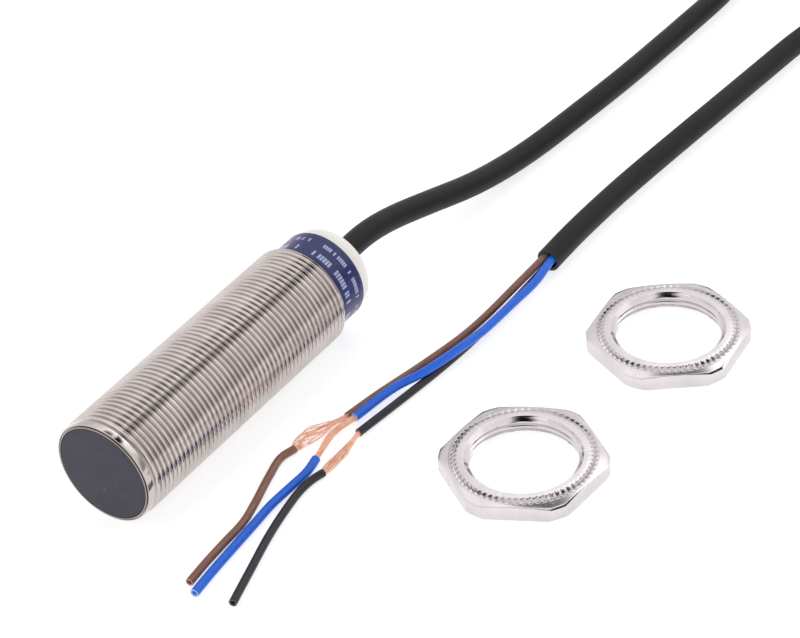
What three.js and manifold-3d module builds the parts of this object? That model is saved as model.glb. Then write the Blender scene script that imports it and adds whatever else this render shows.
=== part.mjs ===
// Inductive proximity sensor: a threaded M18 x 1 cylinder with a moulded three-core cable, lying on a flat
// surface beside its two mounting nuts. Millimetres, +Z up. The origin is on the surface, under the middle of
// the sensor and its nuts. The sensor's axis runs along Y and its sensing face looks towards -Y.
import * as THREE from 'three';
import { mergeVertices } from 'three/addons/utils/BufferGeometryUtils.js';
import Module from 'manifold-3d';

const wasm = await Module();
wasm.setup();

// ---- driving dimensions ----
const THREAD_RADIUS = 9;            // M18 major radius
const THREAD_ROOT_RADIUS = 8.45;
const THREAD_PITCH = 1;
const SENSOR_LENGTH = 60;
const THREAD_START = 1.5;           // measured back from the sensing face, as are all sensor stations below
const THREAD_END = 51.5;
const SENSOR_X = -27.5;
const FACE_Y = -46.4;

const BORE_RADIUS = 7.5;
const LIP_RADIUS = 8.78;
const CAP_RADIUS = 8.12;
const CAP_FLANGE = 1;               // thickness of the cap's wider front
const BAND_RADIUS = 8;
const BAND_END = 57.4;

const NUT_FLATS = 24;
const NUT_CORNER_RADIUS = 13.2;
const NUT_THICKNESS = 3;
const NUT_BORE_RADIUS = 8.5;
const NUTS = [
  { name: 'nut_1', x: 21, y: -4.9, flatAngle: 56.5 },
  { name: 'nut_2', x: 24, y: 33.2, flatAngle: 66.4 },
];

const CABLE_RADIUS = 2.05;
const CORE_RADIUS = 0.65;
const GAP = 0.3;                    // clearance between pieces that meet
const COIL = { x: -9, y: 180, turnRadius: 23.7, columns: 3, layers: 4 };
const COIL_TIE = { width: 5, thickness: 0.6 };

const SIDES = 24;                   // facets round the sensor's turned pieces
const THREAD_SIDES = 16;

// ---- materials ----
const finish = (color, roughness, metalness, extra = {}) => (
  new THREE.MeshStandardMaterial({ color, roughness, metalness, ...extra })
);
const nickel = finish(0xc9c4be, 0.28, 1);
const capPlastic = finish(0x4b4a57, 0.55, 0);
const ferrite = finish(0x35363a, 0.7, 0.1);
const whitePlastic = finish(0xd8d6cc, 0.5, 0);
const blackPlastic = finish(0x232427, 0.5, 0);
const enamelledCopper = finish(0xa8572a, 0.35, 0.8);
const copperSheet = finish(0xb87043, 0.3, 1);
const boardLaminate = finish(0x1f5a36, 0.45, 0);
const ceramic = finish(0x9a7f63, 0.6, 0);
const ledLens = finish(0xe8d27a, 0.2, 0);
const resin = finish(0x3a3d44, 0.4, 0);
const labelFilm = finish(0x2b3268, 0.45, 0);
const ivoryPlastic = finish(0xe9e8e0, 0.4, 0);
const crimpBrass = finish(0xb49a55, 0.35, 1);
const jacket = finish(0x26272b, 0.6, 0);
const brownCore = finish(0x7a4c3c, 0.55, 0);
const blueCore = finish(0x2b5fd0, 0.5, 0);
const blackCore = finish(0x27282c, 0.55, 0);
const strandCopper = finish(0xd99872, 0.35, 1);
const tieFabric = finish(0x1d1e20, 0.9, 0);

// ---- helpers: solids ----
// One closed mesh with shared corners, facing out, without the empty triangles that a pole leaves.
function weld(geometry) {
  const bare = geometry.clone();
  bare.deleteAttribute('normal');
  bare.deleteAttribute('uv');
  const merged = mergeVertices(bare, 1e-4);
  const index = merged.index.array;
  const at = (i) => new THREE.Vector3().fromBufferAttribute(merged.attributes.position, i);
  const kept = [];
  let volume = 0;
  for (let i = 0; i < index.length; i += 3) {
    const [a, b, c] = [index[i], index[i + 1], index[i + 2]];
    if (a === b || b === c || c === a) continue;
    kept.push(a, b, c);
    volume += at(a).dot(at(b).cross(at(c)));
  }
  if (volume < 0) {
    for (let i = 0; i < kept.length; i += 3) [kept[i], kept[i + 1]] = [kept[i + 1], kept[i]];
  }
  merged.setIndex(kept);
  return merged;
}

function toManifold(geometry) {
  const closed = weld(geometry);
  return new wasm.Manifold(new wasm.Mesh({
    numProp: 3,
    vertProperties: new Float32Array(closed.attributes.position.array),
    triVerts: new Uint32Array(closed.index.array),
  }));
}

function fromManifold(solid) {
  const mesh = solid.getMesh();
  const geometry = new THREE.BufferGeometry();
  geometry.setAttribute('position', new THREE.BufferAttribute(mesh.vertProperties, 3));
  geometry.setIndex(new THREE.BufferAttribute(mesh.triVerts, 1));
  return geometry;
}

const cut = (geometry, ...tools) => (
  fromManifold(tools.reduce((solid, tool) => solid.subtract(toManifold(tool)), toManifold(geometry)))
);
const joinUp = (first, second) => fromManifold(toManifold(first).add(toManifold(second)));
const common = (first, second) => fromManifold(toManifold(first).intersect(toManifold(second)));

// A solid turned about the Y axis from [radius, station] pairs. A profile that does not start on the axis
// closes on itself.
function turned(profile, sides = SIDES) {
  const points = profile.map(([radius, station]) => new THREE.Vector2(radius, station));
  if (profile[0][0] > 0) points.push(points[0].clone());
  return weld(new THREE.LatheGeometry(points, sides));
}

const ring = (inner, outer, start, end, sides = SIDES) => (
  turned([[inner, start], [outer, start], [outer, end], [inner, end]], sides)
);
const rod = (radius, start, end, sides) => (
  turned([[0, start], [radius, start], [radius, end], [0, end]], sides)
);
const block = (width, length, height, x = 0, y = 0, z = 0) => (
  new THREE.BoxGeometry(width, length, height).translate(x, y, z)
);

// A round bar that follows a smooth curve through the points given.
function bar(points, radius, sides, steps) {
  const path = new THREE.CatmullRomCurve3(points.map((p) => new THREE.Vector3(...p)), false, 'centripetal');
  const outline = Array.from({ length: sides }, (_, i) => {
    const angle = (2 * Math.PI * (i + 0.5)) / sides;
    return new THREE.Vector2(radius * Math.cos(angle), radius * Math.sin(angle));
  });
  const shape = new THREE.Shape(outline);
  return weld(new THREE.ExtrudeGeometry(shape, { steps, bevelEnabled: false, extrudePath: path }));
}

// A solid rod about Y with a V thread: the crest and root lines climb one pitch in each turn. Its two ends are
// one-turn ramps with a step, and are cut off by whatever trims the rod.
function threadedRod(start, turns, sides) {
  const corner = [];
  const triangles = [];
  const rows = 2 * turns + 3;       // axis, crest, root, crest ... crest, axis
  const station = (row, side) => start + (THREAD_PITCH * side) / sides
    + (THREAD_PITCH * Math.min(Math.max(row - 1, 0), 2 * turns)) / 2;
  for (let side = 0; side <= sides; side += 1) {
    const angle = (2 * Math.PI * side) / sides;
    for (let row = 0; row < rows; row += 1) {
      const onAxis = row === 0 || row === rows - 1;
      const radius = onAxis ? 0 : (row % 2 ? THREAD_RADIUS : THREAD_ROOT_RADIUS);
      corner.push(radius * Math.cos(angle), station(row, side), radius * Math.sin(angle));
    }
  }
  const id = (row, side) => side * rows + row;
  for (let side = 0; side < sides; side += 1) {
    for (let row = 0; row < rows - 1; row += 1) {
      triangles.push(id(row, side), id(row + 1, side), id(row + 1, side + 1));
      triangles.push(id(row, side), id(row + 1, side + 1), id(row, side + 1));
    }
  }
  // The flat step at each end, a fan round the root corner between the two crests.
  const closeStep = (axisRow, crestA, rootCorner, crestB, flip) => {
    const rim = [crestA];
    for (let side = 0; side <= sides; side += 1) rim.push(id(axisRow, side));
    rim.push(crestB);
    for (let i = 0; i < rim.length - 1; i += 1) {
      triangles.push(rootCorner, ...(flip ? [rim[i + 1], rim[i]] : [rim[i], rim[i + 1]]));
    }
  };
  closeStep(0, id(1, 0), id(2, 0), id(1, sides), false);
  closeStep(rows - 1, id(rows - 2, 0), id(rows - 3, sides), id(rows - 2, sides), true);
  const geometry = new THREE.BufferGeometry();
  geometry.setAttribute('position', new THREE.Float32BufferAttribute(corner, 3));
  geometry.setIndex(triangles);
  return geometry;
}

const assembly = new THREE.Group();
const sensor = new THREE.Group();
sensor.position.set(SENSOR_X, FACE_Y, THREAD_RADIUS);
assembly.add(sensor);

function place(parent, name, geometry, material) {
  const mesh = new THREE.Mesh(geometry, material);
  mesh.name = name;
  parent.add(mesh);
  return mesh;
}

// ---- barrel ----
// A thin turned tube with a plain lip at the face, with the threaded sleeve grown on it.
function barrel() {
  const seat = CAP_RADIUS + 0.07;
  const underThread = 8.2;
  const sleeveBore = 7.9;
  const rimEdge = 8.4;
  const rampLength = 0.7;
  const tube = turned([
    [seat, 0], [rimEdge, 0], [LIP_RADIUS, 0.35], [LIP_RADIUS, THREAD_START + 0.1],
    [underThread, THREAD_START + 0.4], [underThread, THREAD_END], [BORE_RADIUS, THREAD_END],
    [BORE_RADIUS, CAP_FLANGE], [seat, CAP_FLANGE],
  ]);
  const sleeve = turned([
    [sleeveBore, THREAD_START], [THREAD_ROOT_RADIUS, THREAD_START], [9.2, THREAD_START + rampLength],
    [9.2, THREAD_END - 0.9], [8.35, THREAD_END - 0.15], [sleeveBore, THREAD_END - 0.15],
  ]);
  const turns = Math.ceil(THREAD_END - THREAD_START) + 2;
  return joinUp(tube, common(threadedRod(THREAD_START - 1.5, turns, THREAD_SIDES), sleeve));
}

// ---- sensing head ----
function sensingCap() {
  const face = 0.05;
  const edge = 0.1;
  const skirtRadius = BORE_RADIUS - 0.1;
  const step = CAP_FLANGE - 0.1;
  const skirtEnd = 10;
  return turned([
    [0, face], [CAP_RADIUS - edge, face], [CAP_RADIUS, face + edge], [CAP_RADIUS, step], [skirtRadius, step],
    [skirtRadius, skirtEnd], [6.9, skirtEnd], [6.9, 1], [0, 1],
  ]);
}

const COIL_PIN_X = 3.9;
const pinHole = (x, start, end) => rod(0.5, start, end, 8).translate(x, 0, 0);

// Open pot core: a cup of ferrite with a hollow centre post, its open side towards the face.
function ferriteCore() {
  const pot = turned([
    [1.4, 1.3], [2.9, 1.3], [2.9, 5], [4.9, 5], [4.9, 1.3], [6, 1.3], [6, 6.3], [1.4, 6.3],
  ]);
  return cut(pot, pinHole(COIL_PIN_X, 4, 7), pinHole(-COIL_PIN_X, 4, 7));
}

const coilBobbin = () => turned([
  [3, 1.4], [4.8, 1.4], [4.8, 1.7], [3.3, 1.7], [3.3, 4.4], [4.8, 4.4], [4.8, 4.7], [3, 4.7],
]);
const coilWinding = () => ring(3.4, 4.7, 1.8, 4.3);
const shieldRing = () => ring(6.15, 6.75, 1.3, 7.3);

const BOARD = { width: 11.6, thickness: 1, start: 8, end: 42.4 };

function coreCarrier() {
  const disc = ring(1.4, 6.05, 6.5, 10.4);
  const slot = block(BOARD.width + 0.6, 4, BOARD.thickness + 0.6, 0, 9.7, 0);
  return cut(disc, slot, pinHole(COIL_PIN_X, 6, 11), pinHole(-COIL_PIN_X, 6, 11));
}

function sensingHead() {
  place(sensor, 'sensing_cap', sensingCap(), capPlastic);
  place(sensor, 'ferrite_core', ferriteCore(), ferrite);
  place(sensor, 'coil_bobbin', coilBobbin(), whitePlastic);
  place(sensor, 'coil_winding', coilWinding(), enamelledCopper);
  place(sensor, 'shield_ring', shieldRing(), copperSheet);
  place(sensor, 'core_carrier', coreCarrier(), blackPlastic);
  [[1, COIL_PIN_X], [2, -COIL_PIN_X]].forEach(([number, x]) => {
    place(sensor, `coil_pin_${number}`, rod(0.22, 5, 7.6, 8).translate(x, 0, 0), copperSheet);
  });
}

// ---- circuit board ----
// size is across, along and above the board; at is across and along from the sensing face.
const CHIPS = [
  { name: 'sensor_ic', size: [4, 5, 1.5], at: [0, 17], side: 1, material: blackPlastic },
  { name: 'output_transistor', size: [3, 2.6, 1.1], at: [2.6, 25], side: 1, material: blackPlastic },
  { name: 'protection_diode', size: [2.2, 3.6, 1.2], at: [-2.8, 27], side: 1, material: blackPlastic },
  { name: 'supply_capacitor', size: [2.4, 3, 1.6], at: [0, 32.5], side: 1, material: ceramic },
  { name: 'tuning_capacitor', size: [1.2, 2, 0.8], at: [-3.6, 13.5], side: -1, material: ceramic },
  { name: 'tuning_resistor', size: [1.2, 2, 0.5], at: [3.6, 13.5], side: -1, material: whitePlastic },
  { name: 'led_resistor', size: [1.2, 2, 0.5], at: [0, 34], side: -1, material: whitePlastic },
  { name: 'led_1', size: [1.6, 2, 0.9], at: [-4.6, 41], side: 1, material: ledLens },
  { name: 'led_2', size: [1.6, 2, 0.9], at: [4.6, 41], side: 1, material: ledLens },
  { name: 'led_3', size: [1.6, 2, 0.9], at: [-4.6, 41], side: -1, material: ledLens },
  { name: 'led_4', size: [1.6, 2, 0.9], at: [4.6, 41], side: -1, material: ledLens },
];

function circuitBoard() {
  const length = BOARD.end - BOARD.start;
  const board = block(BOARD.width, length, BOARD.thickness, 0, (BOARD.start + BOARD.end) / 2, 0);
  place(sensor, 'circuit_board', board, boardLaminate);
  const solder = 0.05;
  CHIPS.forEach(({ name, size: [width, along, height], at: [x, y], side, material }) => {
    const z = side * (BOARD.thickness / 2 + solder + height / 2);
    place(sensor, name, block(width, along, height, x, y, z), material);
  });
}

// ---- rear end ----
// Station at which each core leaves its place in the cable and turns towards its solder pad.
const CORE_SEATS = [
  { colour: 'brown', x: -0.8, z: 0.5, padX: -2.6, padSide: 1, material: brownCore },
  { colour: 'blue', x: 0.8, z: 0.5, padX: 2.6, padSide: 1, material: blueCore },
  { colour: 'black', x: 0, z: -0.9, padX: 0, padSide: -1, material: blackCore },
];
const PLUG = { start: 45, end: 46.1 };
const CABLE_ROOT_START = 46.4;

function pottingPlug() {
  const disc = rod(6.1, PLUG.start, PLUG.end, SIDES);
  const holes = CORE_SEATS.map(({ x, z }) => (
    rod(CORE_RADIUS + 0.06, PLUG.start - 1, PLUG.end + 1, 8).translate(x, 0, z)
  ));
  return cut(disc, ...holes);
}

function coreStub({ x, z, padX, padSide }) {
  const padZ = padSide * (BOARD.thickness / 2 + CORE_RADIUS + 0.1);
  return bar([
    [x, CABLE_ROOT_START - GAP, z], [x, PLUG.start - 0.1, z], [(x + padX) / 2, PLUG.start - 1.1, padZ],
    [padX, BOARD.end - 0.5, padZ], [padX, BOARD.end - 3, padZ],
  ], CORE_RADIUS - 0.05, 8, 8);
}

// Moulded sleeve whose spigot plugs the barrel and whose collar carries the printed band.
const rearHousing = () => turned([
  [6.5, 44], [7.3, 44], [7.3, THREAD_END + 0.1], [BAND_RADIUS - 0.2, THREAD_END + 0.1],
  [BAND_RADIUS - 0.2, BAND_END - 0.1], [6.5, BAND_END - 0.1],
]);
const labelBand = () => ring(BAND_RADIUS - 0.15, BAND_RADIUS, THREAD_END + 0.15, BAND_END - 0.1);

// Translucent end cap: a rounded collar, a rear wall with the cable hole, and a sleeve that takes the light
// in from the four lamps.
function lightRing() {
  const roundCentre = [BAND_RADIUS - 1.5, SENSOR_LENGTH - 1.4];
  const rounded = [0, 22.5, 45, 67.5, 90].map((degrees) => {
    const angle = THREE.MathUtils.degToRad(degrees);
    return [roundCentre[0] + 1.4 * Math.cos(angle), roundCentre[1] + 1.4 * Math.sin(angle)];
  });
  return turned([
    [5.3, 47], [6.3, 47], [6.3, BAND_END], [BAND_RADIUS - 0.1, BAND_END], ...rounded,
    [CABLE_RADIUS + 0.15, SENSOR_LENGTH], [CABLE_RADIUS + 0.15, SENSOR_LENGTH - 1.8],
    [5.3, SENSOR_LENGTH - 1.8],
  ]);
}

const cableSeal = () => turned([
  [CABLE_RADIUS + 0.1, 50.2], [4.2, 50.2], [5.2, 51.2], [5.2, 57.9], [CABLE_RADIUS + 0.1, 57.9],
]);
const cableClamp = () => turned([
  [CABLE_RADIUS + 0.1, 47], [2.8, 47], [2.8, 48.1], [2.6, 48.3], [2.6, 48.9], [2.8, 49.1], [2.8, 50],
  [CABLE_RADIUS + 0.1, 50],
]);

function rearEnd() {
  place(sensor, 'potting_plug', pottingPlug(), resin);
  place(sensor, 'rear_housing', rearHousing(), blackPlastic);
  place(sensor, 'label_band', labelBand(), labelFilm);
  place(sensor, 'light_ring', lightRing(), ivoryPlastic);
  place(sensor, 'cable_seal', cableSeal(), blackPlastic);
  place(sensor, 'cable_clamp', cableClamp(), crimpBrass);
  place(sensor, 'cable_root', rod(CABLE_RADIUS, CABLE_ROOT_START, SENSOR_LENGTH, 12), jacket);
  CORE_SEATS.forEach((seat) => place(sensor, `core_stub_${seat.colour}`, coreStub(seat), seat.material));
}

// ---- mounting nuts ----
// Thin hexagon nut: the hexagon is turned down by shallow cones, and a flat annular land surrounds the bore.
function nut() {
  const profile = turned([
    [NUT_BORE_RADIUS, 0.6], [9.15, 0], [NUT_CORNER_RADIUS - 0.25, 0], [NUT_CORNER_RADIUS, 0.25],
    [NUT_CORNER_RADIUS, 2.25], [11.3, 2.8], [10.35, NUT_THICKNESS], [9.25, NUT_THICKNESS],
    [NUT_BORE_RADIUS, 2.4],
  ], 36);
  const corners = Array.from({ length: 6 }, (_, i) => {
    const angle = (Math.PI / 3) * (i + 0.5);
    const reach = NUT_FLATS / 2 / Math.cos(Math.PI / 6);
    return new THREE.Vector2(reach * Math.cos(angle), reach * Math.sin(angle));
  });
  const prism = new THREE.ExtrudeGeometry(new THREE.Shape(corners), { depth: 6, bevelEnabled: false });
  return common(profile.rotateX(Math.PI / 2), prism.translate(0, 0, -1));
}

// ---- cable ----
// Centre lines of every stretch that is not coiled, in the frame of the whole assembly.
const ROUTES = {
  cable_lead: [
    [-27.5, 13.6 + GAP, 9], [-27.85, 20.4, 9.45], [-27.65, 28.1, 8.6], [-26.1, 38.9, 6.4], [-24.5, 49.2, 4.1],
    [-23.6, 58.5, 2.6], [-22.7, 66.7, 2.1], [-21.6, 78.8, 2.05], [-20.6, 91.1, 2.05], [-20.1, 100.6, 2.05],
    [-19.6, 114.4, 2.05], [-19.4, 126, 2.05], [-20.6, 136, 2.05], [-25, 145.5, 2.05], [-30, 152.9, 2.05],
    [-32.6, 157.9, 2.05],
  ],
  cable_tail: [
    [-3, 39.9, 2.05], [-3.3, 47.9, 2.05], [-3.1, 61.4, 2.05], [-2.6, 70.5, 2.05], [-2, 79.3, 2.05],
    [-1, 92.9, 2.05], [0, 106.6, 2.05], [1.1, 119.8, 2.05], [3.6, 131, 2.2], [8.4, 141.5, 4.2],
    [13.6, 151, 8.6], [17.4, 160.5, 12.6],
  ],
  core_brown: [
    [-3.7, 39.9 - GAP, 2.45], [-4.2, 31.7, 1.6], [-4.6, 22.9, 0.9], [-5.1, 17, 0.7], [-6.5, 8.2, 0.7],
    [-8.5, -1.8, 0.7], [-9.6, -8.8, 0.7],
  ],
  core_blue: [
    [-2.3, 39.9 - GAP, 2.45], [-1.6, 33.8, 2.2], [-1.7, 27, 2.15], [-1.9, 18.5, 2.15], [-2.5, 12.9, 2.35],
    [-4.4, 5.1, 1.95], [-6.7, 0.1, 1.4], [-8, -8.9, 1.25],
  ],
  core_black: [
    [-3, 39.9 - GAP, 1.25], [-3, 33.1, 0.8], [-2.9, 27.1, 0.7], [-3, 20.1, 0.7], [-3.1, 14.6, 0.7],
    [-3.6, 7.4, 0.7], [-4.4, -0.2, 0.7], [-5.7, -11.2, 0.7],
  ],
  slug_brown: [
    [-12.1, -19.4, 0.7], [-12.7, -22.2, 0.7], [-11.7, -26.6, 0.7], [-9.6, -33.6, 0.7], [-8.7, -37.4, 0.7],
    [-8.4, -42.6, 0.7], [-8.1, -47.4, 0.7], [-7.6, -52.2, 0.7],
  ],
  slug_blue: [
    [-7.8, -19.7, 0.7], [-7.2, -23, 0.7], [-7.3, -27.4, 0.7], [-7.4, -32, 0.7], [-7, -37, 0.7],
    [-6.6, -42.1, 0.7], [-6.1, -48.3, 0.7], [-5.5, -53.7, 0.7],
  ],
  slug_black: [
    [-4.9, -21.8, 0.7], [-5.4, -24, 0.7], [-5.5, -27, 0.7], [-4.7, -32.3, 0.7], [-3.4, -38.2, 0.7],
    [-1.4, -45.2, 0.7], [0.7, -52.5, 0.7],
  ],
  strands_brown: [
    [-9.8, -8.8 - GAP, 1.15], [-10.8, -12, 1.15], [-11.8, -15.6, 1.15], [-12.1, -19.4 + GAP, 1.15],
  ],
  strands_blue: [
    [-8, -8.9 - GAP, 1.2], [-8.5, -11.9, 0.9], [-8.8, -15.6, 0.7], [-7.8, -19.7 + GAP, 0.7],
  ],
  strands_black: [
    [-5.8, -11.2 - GAP, 0.8], [-5.8, -15, 0.8], [-5.5, -18.6, 0.8], [-4.9, -21.8 + GAP, 0.8],
  ],
};
const STRAND_RADII = { strands_brown: 1.1, strands_blue: 0.55, strands_black: 0.75 };
const CORE_MATERIALS = { brown: brownCore, blue: blueCore, black: blackCore };

// Half the width and the height of the wound coil, with a little room for its turns.
const COIL_HALF_WIDTH = COIL.columns * CABLE_RADIUS + 0.15;
const COIL_HEIGHT = COIL.layers * 2 * CABLE_RADIUS;

// The hollow under the coil that its strap passes through.
function tieSlot() {
  const width = COIL_TIE.width + 2 * GAP;
  const depth = COIL_TIE.thickness + GAP;
  return block(width, 2 * COIL_HALF_WIDTH + 4, 2 * depth, COIL.x, COIL.y + COIL.turnRadius, 0);
}

function cableCoil() {
  const [inner, outer] = [COIL.turnRadius - COIL_HALF_WIDTH, COIL.turnRadius + COIL_HALF_WIDTH];
  const ease = 1.6;
  const wound = turned([
    [inner + ease, 0], [outer - ease, 0], [outer, ease], [outer, COIL_HEIGHT - ease],
    [outer - ease, COIL_HEIGHT], [inner + ease, COIL_HEIGHT], [inner, COIL_HEIGHT - ease], [inner, ease],
  ], 32).rotateX(Math.PI / 2).translate(COIL.x, COIL.y, 0);
  return cut(wound, tieSlot());
}

// A strap closed round the wound turns, its inner side clear of them.
function coilTie() {
  const halfWidth = COIL_HALF_WIDTH + GAP;
  const top = COIL_HEIGHT + GAP;
  const { thickness, width } = COIL_TIE;
  const outline = new THREE.Shape([
    new THREE.Vector2(-halfWidth - thickness, 0), new THREE.Vector2(halfWidth + thickness, 0),
    new THREE.Vector2(halfWidth + thickness, top + thickness),
    new THREE.Vector2(-halfWidth - thickness, top + thickness),
  ]);
  outline.holes.push(new THREE.Path([
    new THREE.Vector2(-halfWidth, thickness), new THREE.Vector2(-halfWidth, top),
    new THREE.Vector2(halfWidth, top), new THREE.Vector2(halfWidth, thickness),
  ]));
  const strap = new THREE.ExtrudeGeometry(outline, { depth: width, bevelEnabled: false });
  return weld(strap.translate(0, 0, -width / 2).rotateX(Math.PI / 2).rotateZ(Math.PI / 2)
    .translate(COIL.x, COIL.y + COIL.turnRadius, 0));
}

function cable() {
  place(assembly, 'cable_lead', bar(ROUTES.cable_lead, CABLE_RADIUS, 10, 22), jacket);
  place(assembly, 'cable_coil', cableCoil(), jacket);
  place(assembly, 'cable_tail', bar(ROUTES.cable_tail, CABLE_RADIUS, 10, 18), jacket);
  place(assembly, 'coil_tie', coilTie(), tieFabric);
  Object.entries(CORE_MATERIALS).forEach(([colour, material]) => {
    place(assembly, `core_${colour}`, bar(ROUTES[`core_${colour}`], CORE_RADIUS, 8, 18), material);
    const strands = `strands_${colour}`;
    place(assembly, strands, bar(ROUTES[strands], STRAND_RADII[strands], 8, 6), strandCopper);
    place(assembly, `slug_${colour}`, bar(ROUTES[`slug_${colour}`], CORE_RADIUS, 8, 12), material);
  });
}

// ---- assembly ----
place(sensor, 'barrel', barrel(), nickel);
sensingHead();
circuitBoard();
rearEnd();
NUTS.forEach(({ name, x, y, flatAngle }) => {
  const mesh = place(assembly, name, nut(), nickel);
  mesh.position.set(x, y, 0);
  mesh.rotation.z = THREE.MathUtils.degToRad(flatAngle);
});
cable();

export default assembly;
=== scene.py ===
import math

import bmesh
import bpy
import numpy as np
from mathutils import Matrix, Vector


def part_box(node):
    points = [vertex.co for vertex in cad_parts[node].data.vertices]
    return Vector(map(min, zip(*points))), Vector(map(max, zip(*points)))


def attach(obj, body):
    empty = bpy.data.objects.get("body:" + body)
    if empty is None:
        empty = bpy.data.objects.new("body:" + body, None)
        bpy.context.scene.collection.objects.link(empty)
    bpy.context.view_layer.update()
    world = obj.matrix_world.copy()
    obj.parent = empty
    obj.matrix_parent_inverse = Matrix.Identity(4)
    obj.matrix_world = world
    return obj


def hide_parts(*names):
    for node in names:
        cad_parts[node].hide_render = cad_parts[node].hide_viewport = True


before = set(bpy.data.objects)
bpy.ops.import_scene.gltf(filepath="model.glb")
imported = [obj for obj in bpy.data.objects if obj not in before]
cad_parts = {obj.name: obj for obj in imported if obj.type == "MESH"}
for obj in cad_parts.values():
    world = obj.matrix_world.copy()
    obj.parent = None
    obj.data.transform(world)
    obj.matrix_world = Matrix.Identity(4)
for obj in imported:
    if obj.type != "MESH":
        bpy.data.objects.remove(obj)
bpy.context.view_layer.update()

MM = 0.001
rng = np.random.default_rng(18)


def box(node):
    """A CAD node's lowest and highest corners, in millimetres."""
    return tuple(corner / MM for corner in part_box(node))


# ---- sizes, from the frame where it has them ----
BARREL_LOW, BARREL_HIGH = box("barrel")
AXIS_X = (BARREL_LOW.x + BARREL_HIGH.x) / 2
AXIS_Z = (BARREL_LOW.z + BARREL_HIGH.z) / 2
FACE_Y = BARREL_LOW.y
THREAD_RADIUS = AXIS_Z
THREAD_DEPTH = 0.56
THREAD_ROOT_RADIUS = THREAD_RADIUS - THREAD_DEPTH
THREAD_PITCH = 1.0
THREAD_ROWS = 14                   # rows of points in one pitch
BARREL_END = BARREL_HIGH.y - FACE_Y
BAND_START, BAND_END = (corner.y - FACE_Y for corner in box("label_band"))
BAND_RADIUS = (box("label_band")[1].x - box("label_band")[0].x) / 2
SENSOR_LENGTH = box("light_ring")[1].y - FACE_Y
CAP_DEPTH = box("sensing_cap")[1].y - FACE_Y
CAP_RADIUS = 8.12

NUT_FLATS = 24.0                   # across the flats
NUT_CORNER_RADIUS = 13.2
NUT_TEETH = 66                     # pits in the knurl
TOOTH_COLUMNS = 8                  # columns of points across one pit
KNURL_RADIUS = 10.88               # of the middle of the knurl on each nut
NUT_FLAT_ANGLES = {"nut_1": 56.5, "nut_2": 66.4}

CABLE_RADIUS = 2.05
CORE_RADII = {"brown": 0.66, "blue": 0.72, "black": 0.66}
WIRE_RADIUS = 0.07


# ---- camera ----
def make_camera():
    aim = Vector((-17.1, 16.7, 0)) * MM
    azimuth, elevation, roll = (math.radians(degrees) for degrees in (37.5, 37.5, -4.86))
    distance = 513.7 * MM
    level = math.cos(elevation)
    away = Vector((math.sin(azimuth) * level, -math.cos(azimuth) * level, math.sin(elevation)))
    data = bpy.data.cameras.new("camera")
    data.lens = 141.3
    data.clip_start = 0.01
    camera = bpy.data.objects.new("camera", data)
    bpy.context.scene.collection.objects.link(camera)
    turn = (-away).to_track_quat("-Z", "Y").to_matrix() @ Matrix.Rotation(roll, 3, "Z")
    camera.matrix_world = Matrix.Translation(aim + away * distance) @ turn.to_4x4()
    bpy.context.scene.camera = camera


make_camera()


# ---- materials ----
def rgb(red, green, blue):
    """A colour given as it looks on screen, from 0 to 255."""
    shares = (channel / 255 for channel in (red, green, blue))
    return (*((s / 12.92 if s <= 0.04045 else ((s + 0.055) / 1.055) ** 2.4) for s in shares), 1.0)


class Finish:
    """One material, with short calls for its nodes. Its place is the point on the part, in millimetres."""

    def __init__(self, name, **shader):
        self.material = bpy.data.materials.new(name)
        self.material.use_nodes = True
        self.tree = self.material.node_tree
        self.shader = self.tree.nodes["Principled BSDF"]
        for socket, value in shader.items():
            self.shader.inputs[socket.replace("_", " ").title().replace("Ior", "IOR")].default_value = value
        point = self.add("TexCoord").outputs["Object"]
        self.place = self.add("VectorMath", {0: point, "Scale": 1 / MM}, operation="SCALE").outputs[0]
        axes = self.add("SeparateXYZ", {0: self.place}).outputs
        self.x, self.y, self.z = axes[0], axes[1], axes[2]

    def add(self, kind, inputs=(), **settings):
        node = self.tree.nodes.new("ShaderNode" + kind)
        for key, value in settings.items():
            setattr(node, key, value)
        for socket, value in dict(inputs).items():
            self.plug(value, node.inputs[socket])
        return node

    def plug(self, value, socket):
        if isinstance(value, bpy.types.NodeSocket):
            self.tree.links.new(value, socket)
        else:
            socket.default_value = value

    def math(self, operation, first, second=0.0):
        return self.add("Math", {0: first, 1: second}, operation=operation).outputs[0]

    def noise(self, size, stretch=(1, 1, 1), detail=3.0, place=None):
        """Cloudy noise from 0 to 1 with spots of about size millimetres, longer where stretch is above 1."""
        scale = [1 / (size * share) for share in stretch]
        spot = self.add("Mapping", {0: place or self.place, "Scale": scale}).outputs[0]
        return self.add("TexNoise", {"Vector": spot, "Scale": 1.0, "Detail": detail}).outputs[0]

    def spread(self, value, low, high, to_low=0.0, to_high=1.0):
        """value's range from low to high, moved to the range from to_low to to_high and held in it."""
        inputs = {0: value, 1: low, 2: high, 3: to_low, 4: to_high}
        return self.add("MapRange", inputs).outputs[0]

    def mix(self, share, first, second):
        inputs = {0: share, 6: first, 7: second}
        return self.add("Mix", inputs, data_type="RGBA").outputs[2]

    def radius(self, middle, axes):
        """How far the point is from a line through middle, across the two axes named."""
        sides = [self.math("SUBTRACT", getattr(self, axis), centre) for axis, centre in zip(axes, middle)]
        squares = [self.math("MULTIPLY", side, side) for side in sides]
        return self.math("SQRT", self.math("ADD", *squares))

    def colour(self, value):
        self.plug(value, self.shader.inputs["Base Color"])

    def roughness(self, value):
        self.plug(value, self.shader.inputs["Roughness"])

    def bump(self, *layers):
        """Raises the surface by (height from 0 to 1, depth in millimetres) layers, one on another."""
        normal = None
        for height, depth in layers:
            inputs = {"Height": height, "Distance": depth * MM, "Strength": 1.0}
            if normal:
                inputs["Normal"] = normal
            normal = self.add("Bump", inputs).outputs[0]
        self.plug(normal, self.shader.inputs["Normal"])


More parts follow.
